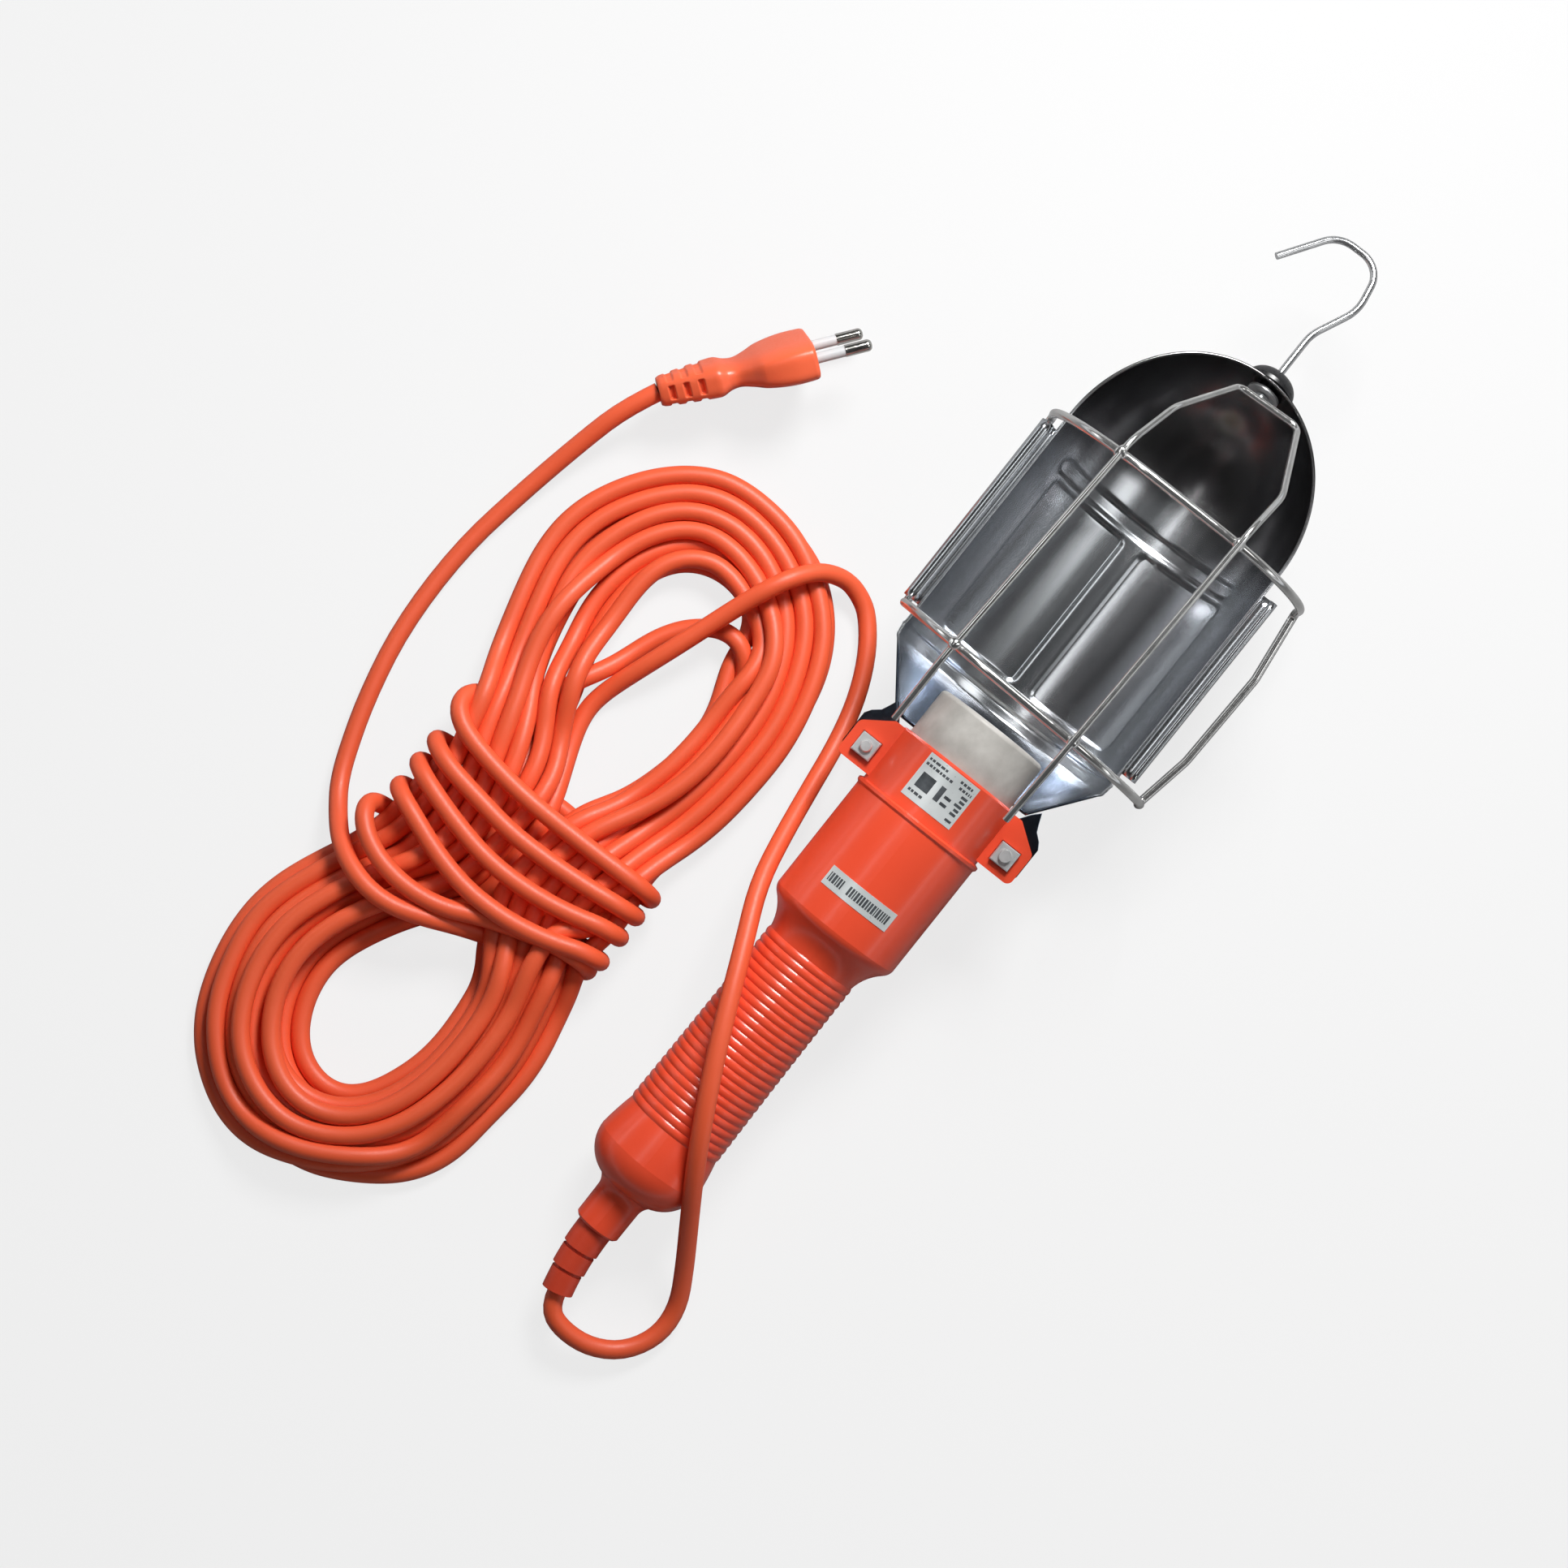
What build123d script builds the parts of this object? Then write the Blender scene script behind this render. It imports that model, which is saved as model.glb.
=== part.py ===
"""Hand inspection lamp lying on its back: handle, E27 lampholder, reflector, wire cage, hook and cord.

The lamp's own frame has u along its axis towards the hook, from the centre of the collar's front
face, y across it towards the cage's hinge, and v up through the open side of the reflector.
"""
from build123d import *
import math
import os

os.makedirs("parts", exist_ok=True)

# ---------------------------------------------------------------- driving dimensions, mm
collar_x = -1.84         # the collar's front face, from the part's origin
collar_y = 3.75

shell_r = 42.0            # half-round reflector, outside
shell_wall = 0.9
shell_start = 24.0        # where its cone becomes a cylinder
shell_end = 110.0         # where its dome starts
dome_depth = 47.2
shell_shift = 1.2         # the reflector hangs this far towards its hinge
cone_start = 1.5
cone_r = 26.4
emboss = 0.5              # how far the panels stand out of the shell

bulb_at = -158.5          # crest of the handle's rounded rear end
bulb_r = 19.2
bulb_round = 13.0

collar_r = 22.6
collar_length = 20.5
body_r = 23.2
body_end = -65.0
grip_start = -76.0
grip_r = 16.3
rib_count = 25
rib_pitch = 2.8
rib_height = 0.45
neck_start = -173.5
neck_end = -186.5
neck_r = 8.1

holder_r = 20.0           # lampholder, outside
holder_front = 17.0
holder_rear = -44.0
socket_r = 13.3           # E27 socket, inside
socket_mouth = 14.0
socket_floor = -20.3

ear_reach = 34.6
ear_height = 7.0
screw_at = (-12.6, 27.8)  # u and y of the ear screws
nut_size = 7.0
nut_height = 3.2

hinge_y = 46.5            # axis of the cage's hinge
hinge_v = 1.4
cage_wire_r = 1.4
guard_wire_r = 1.1
crown_v = 48.0            # top of the cage's hoops

hook_wire_r = 1.2
hook_y = -1.2
hook_v = -9.0

cord_r = 3.1
boot_bend = 14.0          # degrees that the strain relief droops sideways
boot_length = 24.0

# ---------------------------------------------------------------- how the lamp lies
# It rests on the rear edge of the reflector's cylinder and on the rounded end of the handle.
rise = shell_r - bulb_r + bulb_round
span = shell_start - bulb_at
tilt = math.acos(bulb_round / math.hypot(rise, span)) - math.atan2(span, rise)
collar_z = shell_r * math.cos(tilt) - shell_start * math.sin(tilt)

origin = Vector(collar_x, collar_y, collar_z)
along = Vector(math.cos(tilt), 0, math.sin(tilt))
upward = Vector(-math.sin(tilt), 0, math.cos(tilt))
sideways = Vector(0, 1, 0)

side = Plane(origin=origin, x_dir=along, z_dir=-sideways)      # draws in u, v
deck = Plane(origin=origin, x_dir=along, z_dir=upward)         # draws in u, y
shell_deck = Plane(origin=origin + sideways * shell_shift, x_dir=along, z_dir=upward)
lamp_axis = Axis(origin, along)
shell_axis = Axis(shell_deck.origin, along * -1)               # turns the hinge side downwards


def station(u, y=0.0, v=0.0):
    """The plane square to the lamp's axis at u, drawing in y and v."""
    return Plane(origin=origin + along * u + sideways * y + upward * v, x_dir=sideways, z_dir=along)


def radial(down, y=0.0):
    """The plane through the lamp's axis, drawing in u and outwards, `down` degrees below +y."""
    turn = math.radians(down)
    return Plane(origin=origin + sideways * y, x_dir=along, z_dir=upward * math.cos(turn) + sideways * math.sin(turn))


def finish(part, name):
    """Label a piece and write it as a STEP file of that name."""
    part.label = name
    export_step(part, f"parts/{name}.step")


# ---------------------------------------------------------------- handle
front_bore_r = holder_r + 0.05
clamp_bore_r = 10.5
boot_stem_r = 4.9

with BuildPart() as handle:
    with BuildSketch(side):
        with BuildLine():
            Polyline((0, 0), (0, collar_r - 0.8), (-0.8, collar_r), (-collar_length, collar_r))
            Polyline((-collar_length, collar_r), (-collar_length - 0.6, body_r + 0.7),
                     (-collar_length - 1.6, body_r + 0.7), (-collar_length - 2.4, body_r))
            Line((-collar_length - 2.4, body_r), (body_end + 1.5, body_r))
            ThreePointArc((body_end + 1.5, body_r), (body_end, body_r - 0.5), (body_end - 1.4, body_r - 1.6))
            ThreePointArc((body_end - 1.4, body_r - 1.6), (-70.6, 18.2), (grip_start, grip_r))
            for rib in range(rib_count):
                start = grip_start - rib * rib_pitch
                middle = start - rib_pitch / 2
                end = start - rib_pitch
                swell = [0.7 * (k / rib_count) ** 2 for k in (rib, rib + 0.5, rib + 1)]
                ThreePointArc((start, grip_r + swell[0]), (middle, grip_r + swell[1] + rib_height),
                              (end, grip_r + swell[2]))
            grip_end = grip_start - rib_count * rib_pitch
            ThreePointArc((grip_end, grip_r + 0.7), (-152.5, 18.35), (bulb_at, bulb_r))
            back = JernArc((bulb_at, bulb_r), (-1, 0), bulb_round, 72)
            ThreePointArc(back @ 1, (neck_start + 0.5, neck_r + 0.5), (neck_start - 1.4, neck_r))
            Polyline((neck_start - 1.4, neck_r), (neck_end + 0.8, neck_r - 0.1), (neck_end, neck_r - 0.9),
                     (neck_end, 0), (0, 0))
        make_face()
    revolve(axis=lamp_axis)
    with BuildSketch(deck):
        with BuildLine():
            ear_line = Polyline((-0.5, 18), (-0.5, 25.2), (-7.2, ear_reach), (-19.3, ear_reach), (-19.3, 18),
                                (-0.5, 18))
        make_face()
        fillet([p for p in ear_line.vertices() if p.Y > 30], radius=2.2)
        mirror(about=Plane.XZ)
    extrude(amount=ear_height)
    with BuildSketch(side):
        with BuildLine():
            Polyline((5, 0), (5, front_bore_r), (-48, front_bore_r), (-56, 14), (-74, 14), (-84, clamp_bore_r),
                     (-150, clamp_bore_r), (-156, boot_stem_r), (-200, boot_stem_r), (-200, 0), (5, 0))
        make_face()
    revolve(axis=lamp_axis, mode=Mode.SUBTRACT)
    for bolt_side in (1, -1):
        with BuildSketch(deck):
            with Locations((screw_at[0], bolt_side * screw_at[1])):
                Circle(2.15)
        extrude(amount=ear_height, mode=Mode.SUBTRACT)
        with BuildSketch(deck.offset(ear_height - 1.0)):
            with Locations((screw_at[0], bolt_side * screw_at[1])):
                Rectangle(nut_size + 0.6, nut_size + 0.6)
        extrude(amount=2, mode=Mode.SUBTRACT)
finish(handle.part, "handle")

# ---------------------------------------------------------------- strain relief and the cord inside the lamp
boot_arc_r = boot_length / math.radians(boot_bend)
boot_segments = [(8.4, 6.1), (1.2, 5.0), (6.2, 5.7), (1.2, 4.8), (boot_length - 17.0, 5.2)]

with BuildLine(deck) as boot_path:
    JernArc((neck_end, 0), (-1, 0), boot_arc_r, boot_bend)
mouth = boot_path.line @ 1

with BuildPart() as strain_relief:
    with BuildSketch(side):
        with BuildLine():
            Polyline((-148.5, 0), (-148.5, 8.0), (-150.5, 8.0), (-155.5, boot_stem_r - 0.05),
                     (neck_end, boot_stem_r - 0.05), (neck_end, 0), (-148.5, 0))
        make_face()
    revolve(axis=lamp_axis)
    turned = 0.0
    for length, radius in boot_segments:
        arc = math.degrees(length / boot_arc_r)
        with BuildLine(deck) as stretch:
            start = (neck_end - boot_arc_r * math.sin(math.radians(turned)),
                     -boot_arc_r * (1 - math.cos(math.radians(turned))))
            heading = (-math.cos(math.radians(turned)), -math.sin(math.radians(turned)))
            JernArc(start, heading, boot_arc_r, arc)
        with BuildSketch(Plane(stretch.line @ 0, z_dir=stretch.line % 0)):
            Circle(radius)
        sweep(path=stretch.line)
        turned += arc
    with BuildLine(deck) as bore_path:
        Line((-140, 0), (neck_end, 0))
        JernArc((neck_end, 0), (-1, 0), boot_arc_r, boot_bend)
    with BuildSketch(Plane(bore_path.line @ 0, z_dir=bore_path.line % 0)):
        Circle(cord_r + 0.08)
    sweep(path=bore_path.line, mode=Mode.SUBTRACT)
finish(strain_relief.part, "strain_relief")

cord_end_at = -118.0
with BuildPart() as cord_end:
    with BuildLine(deck) as inner_path:
        Line((cord_end_at, 0), (neck_end, 0))
        JernArc((neck_end, 0), (-1, 0), boot_arc_r, boot_bend)
    with BuildSketch(Plane(inner_path.line @ 0, z_dir=inner_path.line % 0)):
        Circle(cord_r)
    sweep(path=inner_path.line)
finish(cord_end.part, "cord_end")

clamp_from = -134.0
clamp_length = 12.0
for clamp_name, lift in (("clamp_upper", 1), ("clamp_lower", -1)):
    with BuildPart() as clamp_half:
        with BuildSketch(station(clamp_from)):
            Circle(clamp_bore_r - 0.1)
            Circle(cord_r, mode=Mode.SUBTRACT)
            with Locations((0, -lift * 10)):
                Rectangle(24, 20.8, mode=Mode.SUBTRACT)
        extrude(amount=clamp_length)
        with BuildSketch(deck):
            with Locations((clamp_from + clamp_length / 2, 6.6), (clamp_from + clamp_length / 2, -6.6)):
                Circle(1.5)
        extrude(amount=12, both=True, mode=Mode.SUBTRACT)
    finish(clamp_half.part, clamp_name)

with BuildPart() as clamp_screws:
    for across in (6.6, -6.6):
        with BuildSketch(deck.offset(-5)):
            with Locations((clamp_from + clamp_length / 2, across)):
                Circle(1.42)
        extrude(amount=11)
        with BuildSketch(deck.offset(5.4)):
            with Locations((clamp_from + clamp_length / 2, across)):
                Circle(1.48)
        extrude(amount=0.9)
finish(clamp_screws.part, "clamp_screws")

# ---------------------------------------------------------------- lampholder and its contacts
shell_seat_r = 14.4       # lampholder's bore around the socket
base_front = -25.0        # front of the contact base's wide part
boss_length = 4.0         # the base's boss, which carries the centre contact
boss_front = base_front + boss_length
terminal_y = 9.0

with BuildPart() as lampholder_body:
    with BuildSketch(side):
        with BuildLine():
            Polyline((holder_front - 1.6, holder_r), (holder_rear, holder_r), (holder_rear, 17.5),
                     (base_front, 17.5), (base_front, shell_seat_r), (holder_front - 1.6, shell_seat_r),
                     (holder_front, shell_seat_r + 1), (holder_front, holder_r - 1.6))
            ThreePointArc((holder_front, holder_r - 1.6), (holder_front - 0.47, holder_r - 0.47),
                          (holder_front - 1.6, holder_r))
        make_face()
    revolve(axis=lamp_axis)
finish(lampholder_body.part, "lampholder_body")

with BuildPart() as socket_shell:
    with BuildSketch(side):
        with BuildLine():
            Polyline((socket_mouth, socket_r), (socket_mouth, socket_r + 0.9), (socket_mouth - 0.6, socket_r + 0.9),
                     (socket_mouth - 1.4, socket_r + 0.5), (socket_floor, socket_r + 0.5),
                     (socket_floor, socket_r), (socket_mouth, socket_r))
        make_face()
    revolve(axis=lamp_axis)
finish(socket_shell.part, "socket_shell")

with BuildPart() as contact_base:
    with BuildSketch(station(base_front - 8)):
        Circle(17.3)
    extrude(amount=8 - 0.1)
    with BuildSketch(station(base_front - 0.1)):
        Circle(shell_seat_r - 0.1)
    extrude(amount=boss_length + 0.1)
    with BuildSketch(station(base_front)):
        Circle(5.0)
    extrude(amount=boss_length, mode=Mode.SUBTRACT)
    with BuildSketch(station(base_front - 8)):
        with Locations((terminal_y, 0), (0, 0)):
            Circle(1.4)
    extrude(amount=8 + boss_length, mode=Mode.SUBTRACT)
finish(contact_base.part, "contact_base")

with BuildPart() as centre_contact:
    with BuildSketch(station(base_front - 9)):
        Circle(1.3)
    extrude(amount=9)
    with BuildSketch(side):
        with BuildLine():
            Polyline((base_front, -4.2), (base_front + 0.5, -4.2), (base_front + 4.6, 3.4),
                     (base_front + 4.0, 3.6), (base_front, -3.4), (base_front, -4.2))
        make_face()
    extrude(amount=2.5, both=True)
    with BuildSketch(station(base_front)):
        Circle(2.5)
    extrude(amount=0.8)
finish(centre_contact.part, "centre_contact")

with BuildPart() as neutral_link:
    with BuildSketch(station(base_front - 9, terminal_y)):
        Circle(1.3)
    extrude(amount=9 + boss_length + 0.2)
    with BuildSketch(station(boss_front + 0.1)):
        Circle(shell_seat_r - 0.1)
        Circle(6.0, mode=Mode.SUBTRACT)
    extrude(amount=0.55)
finish(neutral_link.part, "neutral_link")

for name, across, post_y in (("neutral_terminal", terminal_y, terminal_y), ("live_terminal", -terminal_y, 0.0)):
    with BuildPart() as terminal:
        with BuildSketch(station(base_front - 17)):
            with Locations((across, 0)):
                Rectangle(6.4, 7.0)
        extrude(amount=9 - 0.1)
        if post_y != across:
            with BuildSketch(station(base_front - 9.6)):
                with Locations((across / 2, 0)):
                    Rectangle(abs(across) + 2, 4.0)
            extrude(amount=1.5)
            with BuildSketch(station(base_front - 9.6)):
                Circle(1.34)
            extrude(amount=3, mode=Mode.SUBTRACT)
        else:
            with BuildSketch(station(base_front - 11)):
                with Locations((across, 0)):
                    Circle(1.34)
            extrude(amount=4, mode=Mode.SUBTRACT)
        with BuildSketch(station(base_front - 17)):
            with Locations((across, 0)):
                Circle(1.2)
        extrude(amount=5.5, mode=Mode.SUBTRACT)
        with BuildSketch(deck):
            with Locations((base_front - 14, across)):
                Circle(1.35)
        extrude(amount=5, mode=Mode.SUBTRACT)
    finish(terminal.part, name)

with BuildPart() as terminal_screws:
    for across in (terminal_y, -terminal_y):
        with BuildSketch(deck.offset(1.25)):
            with Locations((base_front - 14, across)):
                Circle(1.3)
        extrude(amount=3.5)
        with BuildSketch(deck.offset(3.6)):
            with Locations((base_front - 14, across)):
                Circle(2.3)
                Rectangle(0.6, 6, rotation=20, mode=Mode.SUBTRACT)
        extrude(amount=1.5)
finish(terminal_screws.part, "terminal_screws")

for name, across in (("neutral_wire", 1), ("live_wire", -1)):
    with BuildPart() as inner_wire:
        with BuildLine(deck) as wire_path:
            FilletPolyline((cord_end_at, across * 1.5), (-104, across * 1.5), (-60, across * terminal_y),
                           (base_front - 13.5, across * terminal_y), radius=15)
        with BuildSketch(Plane(wire_path.line @ 0, z_dir=wire_path.line % 0)):
            Circle(1.1)
        sweep(path=wire_path.line)
    finish(inner_wire.part, name)

# ---------------------------------------------------------------- reflector
panel_span = (33.5, 94.0)
bead_span = (96.2, 101.8)
# Each raised field: its span along u, then where it starts and ends, in degrees down from the hinge rim.
raised_fields = [(panel_span, 37.0, 86.0), (panel_span, 95.5, 147.0), (bead_span, 33.0, 147.0)]
hinge_span = (32.8, 103.2)
latch_span = (30.8, 102.4)
latch_y = -44.5 - shell_shift
curl_y = hinge_y - shell_shift
hinge_bore_r = cage_wire_r + 0.08
hinge_tube_r = hinge_bore_r + 0.8

hook_rise = math.sqrt(1 - (hook_v / shell_r) ** 2)
hook_foot_u = shell_end + dome_depth * hook_rise
hook_dip = math.atan2(-hook_v / shell_r ** 2, (hook_foot_u - shell_end) / dome_depth ** 2)
hook_way = along * math.cos(hook_dip) - upward * math.sin(hook_dip)
hook_up = along * math.sin(hook_dip) + upward * math.cos(hook_dip)
hook_foot = origin + along * hook_foot_u + sideways * hook_y + upward * hook_v
hook_deck = Plane(origin=hook_foot, x_dir=hook_way, z_dir=hook_up)
hook_axis = Axis(hook_foot, hook_way)

with BuildPart() as reflector:
    with BuildSketch(shell_deck):
        with BuildLine():
            Polyline((cone_start, cone_r), (shell_start - 3, shell_r - 1.0), (shell_start, shell_r),
                     (shell_end, shell_r))
            EllipticalCenterArc((shell_end, 0), dome_depth, shell_r, arc_size=90)
            Line((shell_end + dome_depth, 0), (shell_end + dome_depth - shell_wall, 0))
            EllipticalCenterArc((shell_end, 0), dome_depth - shell_wall, shell_r - shell_wall, arc_size=90)
            Polyline((shell_end, shell_r - shell_wall), (shell_start + 0.3, shell_r - shell_wall),
                     (shell_start - 2.6, shell_r - 1.0 - shell_wall), (cone_start + 0.6, cone_r - shell_wall),
                     (cone_start, cone_r))
        make_face()
    revolve(axis=shell_axis, revolution_arc=180)
    for (low, high), first, last in raised_fields:
        with BuildSketch(radial(first, shell_shift)):
            with Locations(((low + high) / 2, shell_r + emboss / 2 - 0.1)):
                Rectangle(high - low, emboss + 0.2)
        revolve(axis=shell_axis, revolution_arc=last - first)
        with BuildSketch(radial(first + 0.6, shell_shift)):
            with Locations(((low + high) / 2, shell_r - shell_wall + emboss / 2 - 0.1)):
                Rectangle(high - low - 1.0, emboss + 0.2)
        revolve(axis=shell_axis, revolution_arc=last - first - 1.2, mode=Mode.SUBTRACT)
    with BuildSketch(shell_deck.offset(-shell_wall)):
        with Locations(((hinge_span[0] + hinge_span[1]) / 2, (shell_r - 0.5 + curl_y) / 2)):
            Rectangle(hinge_span[1] - hinge_span[0], curl_y - shell_r + 0.5)
        with Locations(((latch_span[0] + latch_span[1]) / 2, (latch_y - shell_r + 0.5) / 2)):
            Rectangle(latch_span[1] - latch_span[0], -latch_y - shell_r + 0.5)
    extrude(amount=shell_wall)
    with BuildSketch(station(hinge_span[0], hinge_y, hinge_v)):
        Circle(hinge_tube_r)
    extrude(amount=hinge_span[1] - hinge_span[0])
    with BuildSketch(station(hinge_span[0] - 1, hinge_y, hinge_v)):
        Circle(hinge_bore_r)
    extrude(amount=hinge_span[1] - hinge_span[0] + 2, mode=Mode.SUBTRACT)
    with BuildSketch(station(latch_span[0], shell_shift + latch_y, 0.5)):
        Circle(1.4)
        Circle(0.6, mode=Mode.SUBTRACT)
    extrude(amount=latch_span[1] - latch_span[0])
    with BuildSketch(deck.offset(-shell_wall)):
        for tab_side in (1, -1):
            with BuildLine():
                Polyline((-17.5, tab_side * 23.2), (-17.5, tab_side * 33.4), (-15.5, tab_side * 35.2),
                         (-4.6, tab_side * 35.2), (-0.4, tab_side * 30.8), (5.4, tab_side * 27.9 + 1.0),
                         (3.0, tab_side * 25.6 + 1.0), (-2.0, tab_side * 23.2), (-17.5, tab_side * 23.2))
            make_face()
        with Locations((screw_at[0], screw_at[1]), (screw_at[0], -screw_at[1])):
            Circle(2.15, mode=Mode.SUBTRACT)
    extrude(amount=shell_wall)
    with BuildSketch(Plane(origin=hook_foot - hook_way * 6, x_dir=sideways, z_dir=hook_way)):
        Circle(3.6)
    extrude(amount=10, mode=Mode.SUBTRACT)
finish(reflector.part, "reflector")

# ---------------------------------------------------------------- ear screws, washers and square nuts
head_height = 2.6
washer_height = 0.8
with BuildPart() as ear_screws:
    for across in (screw_at[1], -screw_at[1]):
        with BuildSketch(deck.offset(-shell_wall - washer_height - head_height)):
            with Locations((screw_at[0], across)):
                Circle(3.8)
        extrude(amount=head_height)
        with BuildSketch(deck.offset(-shell_wall - washer_height - head_height)):
            with Locations((screw_at[0], across)):
                Rectangle(9, 1.1, rotation=35)
        extrude(amount=1.2, mode=Mode.SUBTRACT)
        with BuildSketch(deck.offset(-shell_wall - washer_height)):
            with Locations((screw_at[0], across)):
                Circle(1.95)
        extrude(amount=shell_wall + washer_height + ear_height - 1.0 + nut_height + 1.4)
    chamfer(ear_screws.faces().sort_by(Axis(origin, upward))[-1].edges(), length=0.4)
finish(ear_screws.part, "ear_screws")

with BuildPart() as ear_washers:
    with BuildSketch(deck.offset(-shell_wall - washer_height)):
        with Locations((screw_at[0], screw_at[1]), (screw_at[0], -screw_at[1])):
            Circle(4.4)
            Circle(2.15, mode=Mode.SUBTRACT)
    extrude(amount=washer_height)
finish(ear_washers.part, "ear_washers")

with BuildPart() as square_nuts:
    with BuildSketch(deck.offset(ear_height - 1.0)):
        with Locations((screw_at[0], screw_at[1]), (screw_at[0], -screw_at[1])):
            Rectangle(nut_size, nut_size)
            Circle(2.0, mode=Mode.SUBTRACT)
    extrude(amount=nut_height)
    chamfer(square_nuts.edges().group_by(Axis(origin, upward))[-1].filter_by(GeomType.LINE), length=0.35)
finish(square_nuts.part, "square_nuts")

# ---------------------------------------------------------------- wire cage
frame_route = [(67.2, hinge_y, hinge_v), (105.4, hinge_y, hinge_v), (103.6, 46.0, crown_v),
               (103.3, -51.0, crown_v), (104.0, -51.7, hinge_v), (79.8, -54.9, hinge_v),
               (46.1, -54.0, hinge_v), (26.2, -50.5, hinge_v), (26.0, -50.0, crown_v),
               (28.6, 46.0, crown_v), (30.6, hinge_y, hinge_v), (66.4, hinge_y, hinge_v)]
frame_radii = [2.0, 38, 38, 2.6, 10, 10, 2.6, 38, 38, 2.0]

with BuildPart() as cage_frame:
    with BuildLine(deck) as frame_path:
        FilletPolyline(*frame_route, radius=frame_radii)
    with BuildSketch(Plane(frame_path.line @ 0, z_dir=frame_path.line % 0)):
        Circle(cage_wire_r)
    sweep(path=frame_path.line)
finish(cage_frame.part, "cage_frame")

guard_route = [(-0.6, 25.5, 40.0), (24, 25.3, 47.0), (108, 21.6, 47.9), (126, 17.8, 35.0),
               (147.6, 6.4, 9.5), (148.9, -15.8, 8.0), (124.5, -24.4, 35.5), (109, -22.9, 49.0),
               (25, -20.6, 49.4), (-3.8, -19.9, 41.0)]
guard_radii = [40, 12, 20, 3.6, 3.6, 20, 12, 40]

with BuildPart() as cage_guard:
    with BuildLine(deck) as guard_path:
        FilletPolyline(*guard_route, radius=guard_radii)
    with BuildSketch(Plane(guard_path.line @ 0, z_dir=guard_path.line % 0)):
        Circle(guard_wire_r)
    sweep(path=guard_path.line)
finish(cage_guard.part, "cage_guard")

# ---------------------------------------------------------------- hook in its bush at the end of the dome
with BuildPart() as hook_bush:
    with BuildSketch(hook_deck):
        with BuildLine():
            Polyline((-2.4, hook_wire_r + 0.08), (-2.4, 3.5), (-0.6, 3.5), (-0.6, 8.8), (0.6, 8.8))
            ThreePointArc((0.6, 8.8), (3.4, 7.2), (5.0, 4.2))
            Polyline((5.0, 4.2), (5.0, hook_wire_r + 0.08), (-2.4, hook_wire_r + 0.08))
        make_face()
    revolve(axis=hook_axis)
finish(hook_bush.part, "hook_bush")

with BuildPart() as hook_washer:
    with BuildSketch(Plane(origin=hook_foot - hook_way * 3.4, x_dir=sideways, z_dir=hook_way)):
        Circle(5.6)
        Circle(hook_wire_r + 0.08, mode=Mode.SUBTRACT)
    extrude(amount=0.9)
finish(hook_washer.part, "hook_washer")

hook_route = [(-5.0, 0), (23.5, 0), (40.0, -7.1), (57.0, -4.3), (56.8, 12.6), (37.7, 24.4)]
hook_radii = [16, 16, 8.8, 10.5]
with BuildPart() as hook:
    with BuildLine(hook_deck) as hook_path:
        FilletPolyline(*hook_route, radius=hook_radii)
    with BuildSketch(Plane(hook_path.line @ 0, z_dir=hook_path.line % 0)):
        Circle(hook_wire_r)
    sweep(path=hook_path.line)
    with BuildSketch(Plane(origin=hook_foot - hook_way * 5.4, x_dir=sideways, z_dir=hook_way)):
        Circle(2.4)
    extrude(amount=1.7)
finish(hook.part, "hook")

# ---------------------------------------------------------------- labels
label_thickness = 0.15
labels = [("rating_label", collar_r, (-16.9, -1.2), 27.1, 22.4), ("strip_label", body_r, (-54.2, -47.5), 32.0, 33.2)]
for name, radius, (low, high), to_left, to_right in labels:
    with BuildPart() as label:
        with BuildSketch(radial(to_left - 90)):
            with Locations(((low + high) / 2, radius + label_thickness / 2)):
                Rectangle(high - low, label_thickness)
        revolve(axis=lamp_axis, revolution_arc=to_left + to_right)
    finish(label.part, name)

# ---------------------------------------------------------------- cord
cord_floor = cord_r + 0.15
mouth_point = (mouth.X - collar_x, mouth.Y - collar_y, mouth.Z)

# The lead, from the strain relief over the handle and beside the lamp to the coil.
lead_route = [mouth_point, (-214.52, -4.40, 12.03), (-217.6, -11, 10.6), (-217.2, -22, 7.4), (-211.6, -32, 4.4),
              (-201, -37.8, 3.4), (-189.5, -37, 5.5), (-178, -30.5, 14), (-166, -22.8, 25.5),
              (-153, -14.5, 38.2), (-139, -6.5, 46.6), (-122, 2.5, 49.4), (-104, 11, 48.8),
              (-86, 19, 43.6), (-68, 27.5, 35.6), (-50, 31.3, 24.6), (-32, 34.2, 15), (-14, 36.9, 7.6),
              (2, 41, 3.6), (16, 47.6, 3.3), (26, 55.6, 3.3), (31.5, 66.5, 4.0), (27.5, 77, 9.0)]

# The tail, from the coil's wraps to the plug.
plug_entry = (39.0, 154.6, 17.3)
tail_route = [(-139, 139, 11), (-132, 151, 5.0), (-119, 160.3, 3.3), (-99, 167.6, 3.3), (-73, 173.6, 3.4),
              (-41, 174.8, 3.3), (-13, 170.6, 4.6), (10, 165.4, 9.8), (28, 160.2, 15.6), plug_entry]


def corner_radii(route):
    """The largest arc at each corner: 0.45 of its shorter run over the tangent of half its turn."""
    radii = []
    for before, here, after in zip(route, route[1:], route[2:]):
        run_in = Vector(*here) - Vector(*before)
        run_out = Vector(*after) - Vector(*here)
        half_turn = math.radians(run_in.get_angle(run_out)) / 2
        radii.append(0.45 * min(run_in.length, run_out.length) / math.tan(half_turn))
    return radii


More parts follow.
